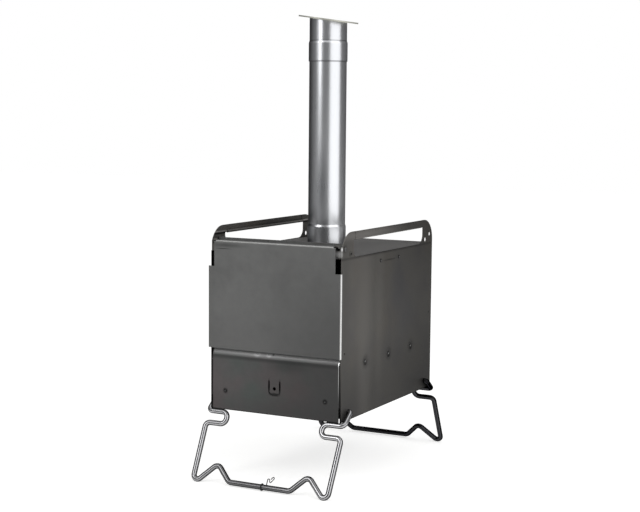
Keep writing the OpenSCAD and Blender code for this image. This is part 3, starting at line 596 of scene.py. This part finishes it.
def leg_grid(sizes, rear):
    """Surface of a leg frame and how far along the bar each row lies.

    A point is the bar's centre line plus its radius times (cos t * side + sin t * normal), for a
    turn t round the bar. The rows above the upper bars are the cranks, which lean back about those
    bars, and the whole frame is then tilted about them. Each end is bevelled by a twelfth of the
    bar. The radius is that of the circle inside the twenty-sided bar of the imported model.
    """
    line, heading = bend_line(leg_outline(sizes), step=math.radians(6))
    steps = np.linalg.norm(np.diff(line, axis=0), axis=1)
    along = np.concatenate([[0.0], np.cumsum(steps)])
    bevel = sizes.bar / 12
    step = np.array([[bevel, 0.0]])
    line = np.concatenate([line[:1], line[:1] + step, line[1:-1], line[-1:] - step, line[-1:]])
    heading = np.concatenate([heading[:1], heading, heading[-1:]])
    ends = along[:1] + bevel, along[-1:] - bevel
    along = np.concatenate([along[:1], ends[0], along[1:-1], ends[1], along[-1:]])
    inside = sizes.bar / 2 * math.cos(math.pi / BAR_SIDES) - CLEARANCE
    reach = np.full((len(line), 1), inside)
    reach[[0, -1]] -= bevel
    upper, _, lean = leg_crank(sizes)
    above = line[:, 1:] > 0
    turn = np.linspace(0.0, 2 * math.pi, BAR_COLUMNS, endpoint=False)[None, :] - lean * above
    across = reach * np.cos(turn)
    flat_x = line[:, :1] - across * np.sin(heading)[:, None]
    flat_y = line[:, 1:] + across * np.cos(heading)[:, None]
    flat_z = reach * np.sin(turn)
    up = np.where(above, flat_y * math.cos(lean) + flat_z * math.sin(lean), flat_y)
    out = np.where(above, flat_z * math.cos(lean) - flat_y * math.sin(lean), flat_z)
    depth = up * math.sin(sizes.tilt) - out * math.cos(sizes.tilt)
    depth = depth + sizes.upper_in - sizes.body_depth / 2
    height = up * math.cos(sizes.tilt) + out * math.sin(sizes.tilt) + sizes.clear + upper
    grid = np.stack([flat_x, depth, height], axis=2)
    if rear:
        grid = (grid * np.array([1, -1, 1]))[:, ::-1]
    return grid, along


def pipe_section(sizes, foot, top):
    """Closed section (radius, height) of a pipe with a bell at its foot and a soft shoulder.

    Long straight runs get two more points near their ends, which keep their shading even.
    """
    inner, outer = sizes.pipe / 2 - sizes.wall, sizes.pipe / 2
    bell = outer + sizes.fit
    neck = foot + sizes.bell
    rise = neck + sizes.shoulder
    edge, soft, margin = sizes.wall * 0.35, sizes.shoulder * 0.3, 0.0004
    corners = [
        [bell, foot, edge],
        [bell + sizes.wall, foot, edge],
        [bell + sizes.wall, neck, soft],
        [outer, rise, soft],
        [outer, top, edge],
        [inner, top, edge],
        [inner, rise, soft],
        [bell, neck, soft],
    ]
    points = bend_line(corners, step=math.radians(15), closed=True)[0]
    onward = np.roll(points, -1, axis=0) - points
    rows = []
    for point, step in zip(points, onward):
        near_end = margin / np.linalg.norm(step)
        shares = (0.0, near_end, 1.0 - near_end) if near_end < 0.05 else (0.0,)
        rows += [point + share * step for share in shares]
    return np.array(rows)


class STOVE_OT_body_sheets(bpy.types.Operator):
    """Finish the side panels, end panels, floor tray and front rail"""

    bl_idname = "stove.body_sheets"
    bl_label = "Body sheets"

    def execute(self, context):
        steel = context.scene.stove_steel
        front, rear, low = SIDE_LOW.y, SIDE_HIGH.y, SIDE_LOW.z
        painted_light, lit, bar_x = (0.17, 0.162, 0.152), (0.23, 0.22, 0.21), 0.0015 - EAR_X
        marks = [
            # Painted shade: darker towards the rear and at the front foot
            mark((0, rear, SIDE_HIGH.z), (0, 1, 0.4), 0.42, 0.5, (0.03, 0.029, 0.028)),
            mark((0, rear, low), (0, 0.45, 1), 0.22, 0.72, (0.026, 0.025, 0.024)),
            mark((0, front, low), (0, 0.5, 1), 0.17, 0.8, (0.052, 0.05, 0.048)),
            # Painted light on the upper front, upright bands of painted light and shade, and a cool
            # patch
            mark((0, front + 0.05, 0.41), (0, 1, 0.6), 0.13, 0.35, painted_light),
            mark((0, front + 0.092, 0.34), (0, 1, 0.12), 0.046, 0.42, painted_light),
            mark((0, front + 0.012, 0.3), (0, 1, 0.1), 0.032, 0.3, (0.07, 0.07, 0.068)),
            mark((0, front + 0.155, 0.34), (0, 1, 0.1), 0.026, 0.22, painted_light),
            mark((0, 0.055, 0.31), (0, 1, 0.8), 0.09, 0.4, (0.066, 0.068, 0.076)),
            # Dark lines painted as shade under the slot and between the rivets, and a spot at the
            # rear edge
            mark((0, -0.03, SLOT_Z + 0.001), (0, 0.008, 1), 0.0015, 0.85, DIM),
            mark((0, 0, RIVETS_Z - 0.0015), (0, 0.05, 1), 0.0022, 0.7, DIM),
            mark((0, rear - 0.013, 0.275), (0, 1, 1), 0.0045, 0.7, DIM),
            # Black lines painted as shade along the front edge and the foot
            mark((0, front, low), (0, 1, 0.018), 0.0022, 1.0, BLACK),
            mark((0, 0, low), (0, 0, 1), 0.0022, 0.8, BLACK),
            # The ear's painted shade, painted light on its grey fold and bright corner, painted
            # shade in its black notch and a painted highlight on its bright edge
            mark((SIDE_HIGH.x, front + 0.011, EAR_Z), (1, 0.8, 1), 0.01, 0.7, DIM),
            mark((EAR_X - 0.0075, front, EAR_FOLD_Z), (0.5, 1, 1), 0.0085, 0.9, 0.3),
            mark((EAR_X - 0.0125, front, EAR_FOLD_Z), (1, 1, 0.8), 0.0065, 0.8, 0.85),
            mark((EAR_X - 0.006, front, EAR_Z + 0.0002), (0.45, 1, 1), 0.0054, 1.0, BLACK),
            mark((EAR_X, front + 0.001, EAR_Z), (1, 1, 0.8), 0.0042, 1.0, 0.65, 0.1),
            # Painted shade on the left bar's dark underside, a painted highlight on its lit edge,
            # and painted light on the pale right bar
            mark((bar_x, 0, BAR_Z), (0.3, 0, 1), 0.0032, 1.0, BLACK),
            mark((bar_x, 0, BAR_Z + 0.0034), (0.3, 0, 1), 0.002, 0.8, (0.45, 0.43, 0.42)),
            mark((EAR_X + 0.0005, front + 0.09, BAR_Z + 0.007), (1, 0.06, 1), 0.013, 0.9, lit),
            # Painted shade under the right slot and along the left panel's black front edge
            mark((EAR_X, -0.01, SLOT_Z), (1, 0, 1), 0.004, 0.45, DIM),
            mark((-SIDE_HIGH.x, front, 0.42), (1, 1, 0), 0.008, 1.0, BLACK),
        ]
        marks += [mark((0, y, STUDS_Z), (0, 1, 1), 0.018, 0.7, DIM) for y in STUDS_Y]
        marks += [mark((0, y, RIVETS_Z), (0, 1, 1), 0.006, 0.6, DIM) for y in RIVETS_Y]
        tones = steel.body, steel.body_warm, steel.body_cool
        side = sheet_material("side_sheet", *tones, metal=0.65, marks=marks)
        finish_nodes(("side_panel_left", "side_panel_right"), side)
        dark, iron = scaled(steel.front, 0.8), steel.iron
        plain = sheet_material("end_sheet", steel.front, dark, dark, mottle=0.25, gloss=0.42)
        finish_nodes(("back_panel",), plain)
        tray = sheet_material("tray_sheet", iron, iron, DIM, mottle=0.4, gloss=0.5, metal=0.5)
        finish_nodes(("floor_tray",), tray)
        tones = steel.door, steel.body_warm, steel.door
        rail = sheet_material("rail_sheet", *tones, mottle=0.25)
        finish_nodes(("front_rail",), rail)
        return {"FINISHED"}


class STOVE_OT_front_sheet(bpy.types.Operator):
    """Finish the lower front panel with painted light on its lip and its tinted skin"""

    bl_idname = "stove.front_sheet"
    bl_label = "Lower front"

    def execute(self, context):
        steel = context.scene.stove_steel
        low, side, lip = FRONT_LOW.z, FRONT_HIGH.x, FRONT_HIGH.z - 0.0075
        marks = [
            # Painted shade: darker towards the right foot, and the shade under the lip
            mark((side, 0, low), (1, 0, 0.5), 0.26, 0.6, 0.03),
            mark((0, 0, lip - 0.0095), (0.01, 0, 1), 0.0065, 0.55, 0.03),
            # The lip's band of light, brightest at the left, and a stain below it
            mark((-0.08, 0, lip + 0.001), (0.028, 0, 1), 0.01, 0.9, 0.22, 0.1),
            mark((-side, 0, lip + 0.003), (0.01, 0, 1), 0.0085, 0.8, 0.46),
            mark((0, 0, lip + 0.005), (0.006, 0, 1), 0.005, 0.35, 0.36),
            mark((0.03, 0, lip - 0.016), (0.35, 0, 1), 0.02, 0.3, DIM),
            # Two rubbed spots on the lip and a dark one beside them
            mark((-0.037, 0, lip), (0.6, 0, 1), 0.006, 0.7, 0.62, 0.1),
            mark((-0.013, 0, lip), (0.7, 0, 1), 0.0055, 0.6, 0.62, 0.1),
            mark((-0.004, 0, lip + 0.001), (1, 0, 1), 0.0035, 0.7, DIM),
            # Black painted shade in the gaps at both sides and along the foot, and a painted
            # highlight on the fold at the right
            mark((-side, 0, low), (1, 0, 0), 0.004, 1.0, BLACK),
            mark((side, 0, low), (1, 0, 0), 0.0032, 1.0, BLACK),
            mark((side - 0.003, 0, 0.21), (1, 0, 0.016), 0.001, 0.6, 0.7, 0.1),
            mark((side - 0.003, 0, 0.232), (1, 0, 0.16), 0.0019, 1.0, 1.0, 0.2),
            mark((0, 0, low), (0, 0, 1), 0.0024, 0.85, BLACK),
            # Painted shade in the tongue's black slot, the darker middle below it and rings round
            # the rivets
            mark((-TONGUE_X, 0, TONGUE_Z), (1, 0, 0.16), 0.003, 1.0, BLACK),
            mark((TONGUE_X, 0, TONGUE_Z), (1, 0, 0.16), 0.003, 1.0, BLACK),
            mark((0, 0, TONGUE_FOOT_Z), (0.3, 0, 1), 0.0046, 1.0, BLACK),
            mark((0, 0, low), (0.08, 0, 1), 0.055, 0.35, 0.04),
        ]
        rings = [(x, 0, END_RIVETS_Z) for x in END_RIVETS_X]
        marks += [mark(at, (1, 0, 1), 0.0072, 1.0, BLACK) for at in rings]
        red, green = scaled(steel.front, 1.1, 0.98, 0.99), scaled(steel.front, 0.9, 1.02, 0.97)
        sheet = sheet_material("front_sheet", steel.front, red, green, marks=marks)
        finish_nodes(("front_panel",), sheet)
        return {"FINISHED"}


class STOVE_OT_door_sheet(bpy.types.Operator):
    """Finish the door with painted highlights on its folds"""

    bl_idname = "stove.door_sheet"
    bl_label = "Door"

    def execute(self, context):
        steel = context.scene.stove_steel
        face, side = DOOR_LOW.y + 0.0008, DOOR_HIGH.x
        low, high = DOOR_LOW.z, DOOR_HIGH.z
        marks = [
            # Painted shade: darker towards both lower corners
            mark((side, face, low), (1, 0, 1), 0.27, 0.7, 0.066),
            mark((-side, face, low), (0.6, 0, 1), 0.12, 0.3, (0.08, 0.078, 0.078)),
            # Painted shadow: two dark lines under the left end of the top
            mark((-0.1, face, high - 0.0085), (0.11, 0, 1), 0.0065, 0.45, DIM),
            mark((-0.104, face, high - 0.015), (0.05, 0, 1), 0.0013, 0.8, DIM),
            # Lit folds at the top and at the right
            mark((0, face, high - 0.0008), (0, 1, 1), 0.0034, 0.6, (0.45, 0.45, 0.44), 0.08),
            mark((side - 0.0008, face, 0), (1, 1, 0), 0.0028, 0.9, (0.8, 0.8, 0.79), 0.13),
        ]
        cool = scaled(steel.door, 0.9)
        sheet = sheet_material("door_sheet", steel.door, steel.door, cool, marks=marks)
        finish_nodes(("door",), sheet)
        return {"FINISHED"}


class STOVE_OT_cook_plate(bpy.types.Operator):
    """Finish the cook plate"""

    bl_idname = "stove.cook_plate"
    bl_label = "Cook plate"

    def execute(self, context):
        plate = context.scene.stove_steel.plate
        finish = sheet_material("cook_plate_sheet", plate, plate, plate, mottle=0.3, gloss=0.38)
        finish_nodes(("cook_plate",), finish)
        return {"FINISHED"}


class STOVE_OT_inner_iron(bpy.types.Operator):
    """Finish the grate, the baffle and the plate's brackets"""

    bl_idname = "stove.inner_iron"
    bl_label = "Inner iron"

    def execute(self, context):
        iron = context.scene.stove_steel.iron
        finish = sheet_material("inner_iron", iron, iron, iron, mottle=0.5, gloss=0.62, metal=0.3)
        finish_nodes(("grate", "baffle", "plate_bracket_left", "plate_bracket_right"), finish)
        return {"FINISHED"}


class STOVE_OT_fasteners(bpy.types.Operator):
    """Finish the rivets, studs, hinge rod, clips and keeper ring"""

    bl_idname = "stove.fasteners"
    bl_label = "Fasteners and wires"

    def execute(self, context):
        steel, drawn = context.scene.stove_steel, (0.05, 1, 1)
        bright = bright_material("fastener_steel", steel.bright, 0.24, drawn)
        finish_nodes(("rod_clips", "collar_rivets"), bright)
        rod = bright_material("rod_steel", scaled(steel.bright, 0.3), 0.3, drawn)
        finish_nodes(("hinge_rod",), rod)
        rim = (0, SIDE_LOW.y + EYELET_IN, EYELET_Z)
        rims = [mark(rim, (0, 1, 0.25), 0.0028, 0.9, DIM)]
        tones = steel.eyelet, steel.eyelet, DIM
        ring = sheet_material("eyelet_steel", *tones, mottle=0.2, gloss=0.34, metal=0.8, marks=rims)
        finish_nodes(("rail_eyelets",), ring)
        clip = bright_material("clip_steel", steel.clip, 0.25, (1, 1, 1), edge=0.4)
        finish_nodes(("lock_clip",), clip)
        wire = bright_material("wire_dark", steel.wire, 0.4, (0.1, 1, 1), edge=0.4)
        finish_nodes(("keeper_ring",), wire)
        ends = [(x, 0, END_RIVETS_Z) for x in END_RIVETS_X]
        sides = [(0, y, RIVETS_Z) for y in RIVETS_Y]
        studs = [(0, y, STUDS_Z) for y in STUDS_Y]
        heads = (
            ("end_rivets", ("front_rivets", "back_rivets"), ends, (1, 0, 1), 0.09),
            ("side_rivets", ("bracket_rivets",), sides, (0, 1, 1), 0.22),
            ("stud_heads", ("grate_studs",), studs, (0, 1, 1), 0.34),
        )
        tones = steel.rivet, steel.rivet, DIM
        for name, nodes, places, across, tone in heads:
            # A lighter spot in the middle of each head is a painted highlight
            head_highlights = [mark(at, across, 0.003, 0.85, tone) for at in places]
            head = sheet_material(name, *tones, mottle=0.3, gloss=0.36, metal=0.8, marks=head_highlights)
            finish_nodes(nodes, head)
        return {"FINISHED"}


class STOVE_OT_leg_frames(bpy.types.Operator):
    """Draw both leg frames as smooth bent bars"""

    bl_idname = "stove.leg_frames"
    bl_label = "Leg frames"

    def execute(self, context):
        sizes, steel = context.scene.stove_legs, context.scene.stove_steel
        # The rear frame's darker colour is painted shade
        for end, tone in (("front", steel.bar_front), ("rear", steel.bar_rear_shaded)):
            name = "leg_bar_" + end
            grid, along = leg_grid(sizes, end == "rear")
            middle, painted_highlight = along[-1] / 2, scaled(tone, 6.5)
            # Painted highlights: three bright lines along each bar, where the lamps would shine on
            # it
            lines = [(sizes.bar / 2 * math.radians(turn), 0, 0) for turn in (47, 90, 133)]
            marks = [mark(line, (1, 0, 0), 0.0021, 1.0, painted_highlight) for line in lines]
            # The cross run is darker, with the painted highlights faded there, a faint painted
            # highlight along its front and painted shade on its black underside
            marks += [
                mark((0, middle, 0), (0, 1, 0), 0.22, 0.9, tone),
                mark(lines[1], (1, 0, 0), 0.0018, 0.16, painted_highlight),
                mark((0.0006, middle, 0), (1, 0.02, 0), 0.005, 0.8, BLACK),
            ]
            look = {"lines": 2500.0, "strength": 0.08, "edge": 0.1, "wear": 0.08}
            finish = bright_material(name, tone, 0.22, (1, 0.03, 1), marks=marks, bar=True, **look)
            uv = along, sizes.bar * math.pi / BAR_COLUMNS
            bar = surface(name, grid, "leg_" + end, finish, uv)
            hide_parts("leg_frame_" + end)
        return {"FINISHED"}


class STOVE_OT_flue(bpy.types.Operator):
    """Draw both flue pipes with soft shoulders and finish the collar"""

    bl_idname = "stove.flue"
    bl_label = "Flue"

    def execute(self, context):
        sizes = context.scene.stove_flue
        neck = sizes.bell + sizes.shoulder / 2
        low, high = sizes.lower_foot, sizes.upper_foot
        dark, shade, painted_light = (0.1, 0.1, 0.11), (0.21, 0.215, 0.23), (0.95, 0.95, 0.97)
        marks = [
            # Light and shade on the shoulders, and the dark joint between the pipes
            mark((0, 0, low + neck), (0, 0, 1), 0.0035, 0.5, painted_light),
            mark((0, 0, high + neck + 0.002), (0, 0, 1), 0.0016, 0.6, dark),
            mark((0, 0, high + neck - 0.002), (0, 0, 1), 0.0022, 0.35, painted_light),
            mark((0, 0, high), (0, 0, 1), 0.0022, 0.75, dark),
            # Painted shade in the reflections: darker patches on the front and the left of the
            # lower half
            mark((0.0064, -0.0344, 0.52), (1, 1, 0.16), 0.018, 0.8, shade),
            mark((-0.0201, -0.0287, low), (1, 1, 0.07), 0.022, 0.85, shade),
            mark((-0.0245, -0.025, 0), (1, 1, 0), 0.014, 0.55, shade),
        ]
        steel = context.scene.stove_steel.flue
        look = {"lines": 900.0, "strength": 0.025, "edge": 0.6, "wear": 0.02}
        finish = bright_material("flue_steel", steel, 0.28, (1, 1, 0.01), marks=marks, **look)
        lower = lathe(pipe_section(sizes, low, sizes.lower_top))
        pipe = surface("flue_pipe_lower", lower, "flue_lower", finish, ring=True)
        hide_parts("flue_lower")
        upper = lathe(pipe_section(sizes, high, sizes.upper_top))
        limit = sizes.upper_top - (upper[..., 0] + sizes.pipe / 2) * math.tan(sizes.cap_tilt)
        upper[..., 2] = np.minimum(upper[..., 2], limit)
        pipe = surface("flue_pipe_upper", upper, "flue_upper", finish, ring=True)
        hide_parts("flue_upper")
        finish_nodes(("flue_collar",), finish)
        return {"FINISHED"}


class STOVE_OT_flashing(bpy.types.Operator):
    """Finish the pale plate on the upper pipe"""

    bl_idname = "stove.flashing"
    bl_label = "Top plate"

    def execute(self, context):
        tone = context.scene.stove_steel.flashing
        finish = sheet_material("flashing_sheet", tone, tone, tone, mottle=0.1, metal=0.5)
        finish_nodes(("flashing_plate",), finish)
        return {"FINISHED"}


def seen_mix(tree):
    """1 for what the camera sees directly, in a mirror or through glass, and otherwise 0."""
    rays = place(tree, "LightPath").outputs
    seen = maths(tree, "ADD", rays["Is Camera Ray"], rays["Is Glossy Ray"], clamp=True)
    return maths(tree, "ADD", seen, rays["Is Transmission Ray"], clamp=True)


def stage_piece(name, grid, material):
    """An open sheet of the studio from a grid of points."""
    rows, columns = grid.shape[:2]
    i, j = np.meshgrid(np.arange(rows - 1), np.arange(columns - 1), indexing="ij")
    at = (i * columns + j).ravel()
    quads = np.stack([at, at + 1, at + columns + 1, at + columns], 1)
    mesh = bpy.data.meshes.new(name)
    mesh.from_pydata(grid.reshape(-1, 3).tolist(), [], quads.tolist())
    mesh.materials.append(material)
    made = bpy.data.objects.new(name, mesh)
    bpy.context.scene.collection.objects.link(made)
    return made


def add_light(name, azimuth, low, width, power):
    """An upright soft light that faces the stove."""
    data = bpy.data.lights.new(name, "AREA")
    data.shape = "RECTANGLE"
    data.size, data.size_y, data.energy = width, LIGHT_TOP - low, power
    made = bpy.data.objects.new(name, data)
    turn, height = math.radians(azimuth), (low + LIGHT_TOP) / 2
    made.location = (LIGHT_DISTANCE * math.sin(turn), -LIGHT_DISTANCE * math.cos(turn), height)
    made.rotation_euler = (math.radians(90), 0, turn)
    made.visible_camera = False
    bpy.context.scene.collection.objects.link(made)


class STOVE_OT_studio(bpy.types.Operator):
    """Set up the pale floor, the soft lights and the camera"""

    bl_idname = "stove.studio"
    bl_label = "Studio"

    def execute(self, context):
        scene, studio = context.scene, context.scene.stove_studio
        floor_material, tree, shader, _ = new_material("studio_floor")
        shader.inputs["Base Color"].default_value = (0.86, 0.86, 0.85, 1.0)
        shader.inputs["Roughness"].default_value = 0.9
        shader.inputs["Specular IOR Level"].default_value = 0.0
        shader.inputs["Emission Color"].default_value = WHITE
        lift = maths(tree, "MULTIPLY", seen_mix(tree), studio.floor_glow)
        tree.links.new(lift, shader.inputs["Emission Strength"])
        spread = np.linspace(-FLOOR_HALF, FLOOR_HALF, 7)
        x, y = np.meshgrid(spread, spread, indexing="xy")
        stage_piece("studio_floor", np.stack([x, y, 0 * x], axis=2), floor_material)

        cloth, tree, shader, where = new_material("studio_cloth")
        shader.inputs["Base Color"].default_value = (0.0, 0.0, 0.0, 1.0)
        shader.inputs["Roughness"].default_value = 1.0
        shader.inputs["Emission Color"].default_value = WHITE
        behind = near(tree, where, BEHIND_LEFT, (1, 1, 0), BEHIND_REACH)
        dim = remap(tree, behind, 0.0, 1.0, studio.surround, 0.3 * studio.surround)
        tree.links.new(dim, shader.inputs["Emission Strength"])
        turns, heights = np.linspace(0, 2 * math.pi, 49), np.linspace(0.0, CLOTH_TOP, 5)
        turn, height = np.meshgrid(turns, heights)
        shell = np.stack([CLOTH_RADIUS * np.cos(turn), CLOTH_RADIUS * np.sin(turn), height], axis=2)
        cloth_wall = stage_piece("studio_cloth", shell, cloth)
        for part in ("camera", "diffuse", "transmission", "shadow"):
            setattr(cloth_wall, "visible_" + part, False)

        add_light("light_right", 72.5, 0.05, 3.00, studio.key_power)
        add_light("light_left", -21.0, 0.78, 0.72, studio.strip_power)
        add_light("light_far_left", -36.0, 0.8, 0.8, studio.side_power)

        world = bpy.data.worlds.new("studio_world")
        world.use_nodes = True
        tree = world.node_tree
        tree.nodes.clear()
        light = place(tree, "Background", {"Color": WHITE, "Strength": studio.world})
        white = place(tree, "Background", {"Color": WHITE, "Strength": 1.0})
        inputs = {0: seen_mix(tree), 1: light.outputs[0], 2: white.outputs[0]}
        mixed = place(tree, "MixShader", inputs)
        place(tree, "OutputWorld", {"Surface": mixed.outputs[0]})
        scene.world = world

        data = bpy.data.cameras.new("camera")
        data.lens, data.sensor_width, data.clip_end = studio.lens, 36.0, 50.0
        camera = bpy.data.objects.new("camera", data)
        scene.collection.objects.link(camera)
        camera.matrix_world = (
            Matrix.Translation((studio.camera_x, -studio.camera_back, studio.camera_z))
            @ Matrix.Rotation(studio.turn, 4, "Z")
            @ Matrix.Rotation(math.pi / 2 - studio.nod, 4, "X")
            @ Matrix.Rotation(studio.roll, 4, "Z")
        )
        scene.camera = camera
        scene.view_settings.view_transform = "Standard"
        return {"FINISHED"}


class STOVE_PT_panel(bpy.types.Panel):
    """Lists the pieces of the stove and the studio"""

    bl_idname = "STOVE_PT_panel"
    bl_label = "Tent stove"
    bl_space_type = "VIEW_3D"
    bl_region_type = "UI"
    bl_category = "Tent stove"

    def draw(self, context):
        """Draws a button for each piece and a box for each group of settings."""
        for step in STEPS:
            self.layout.operator(step.bl_idname)
        for attribute, kind in SETTINGS:
            group = getattr(context.scene, attribute)
            box = self.layout.box()
            for key in kind.__annotations__:
                box.prop(group, key)


SETTINGS = (
    ("stove_legs", LegSizes),
    ("stove_flue", FlueSizes),
    ("stove_steel", SteelFinish),
    ("stove_studio", StudioSettings),
)
STEPS = (
    STOVE_OT_studio,
    STOVE_OT_body_sheets,
    STOVE_OT_front_sheet,
    STOVE_OT_door_sheet,
    STOVE_OT_cook_plate,
    STOVE_OT_inner_iron,
    STOVE_OT_fasteners,
    STOVE_OT_leg_frames,
    STOVE_OT_flue,
    STOVE_OT_flashing,
)


def register():
    """Adds the settings to the scene and the operators and the panel to Blender."""
    for attribute, kind in SETTINGS:
        bpy.utils.register_class(kind)
        setattr(bpy.types.Scene, attribute, PointerProperty(type=kind))
    for kind in (*STEPS, STOVE_PT_panel):
        bpy.utils.register_class(kind)


def unregister():
    """Takes all that register added away again."""
    for kind in (STOVE_PT_panel, *reversed(STEPS)):
        bpy.utils.unregister_class(kind)
    for attribute, kind in reversed(SETTINGS):
        delattr(bpy.types.Scene, attribute)
        bpy.utils.unregister_class(kind)


def main():
    """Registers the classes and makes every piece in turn."""
    register()
    for step in STEPS:
        group, name = step.bl_idname.split(".")
        getattr(getattr(bpy.ops, group), name)()


if __name__ == "__main__":
    main()
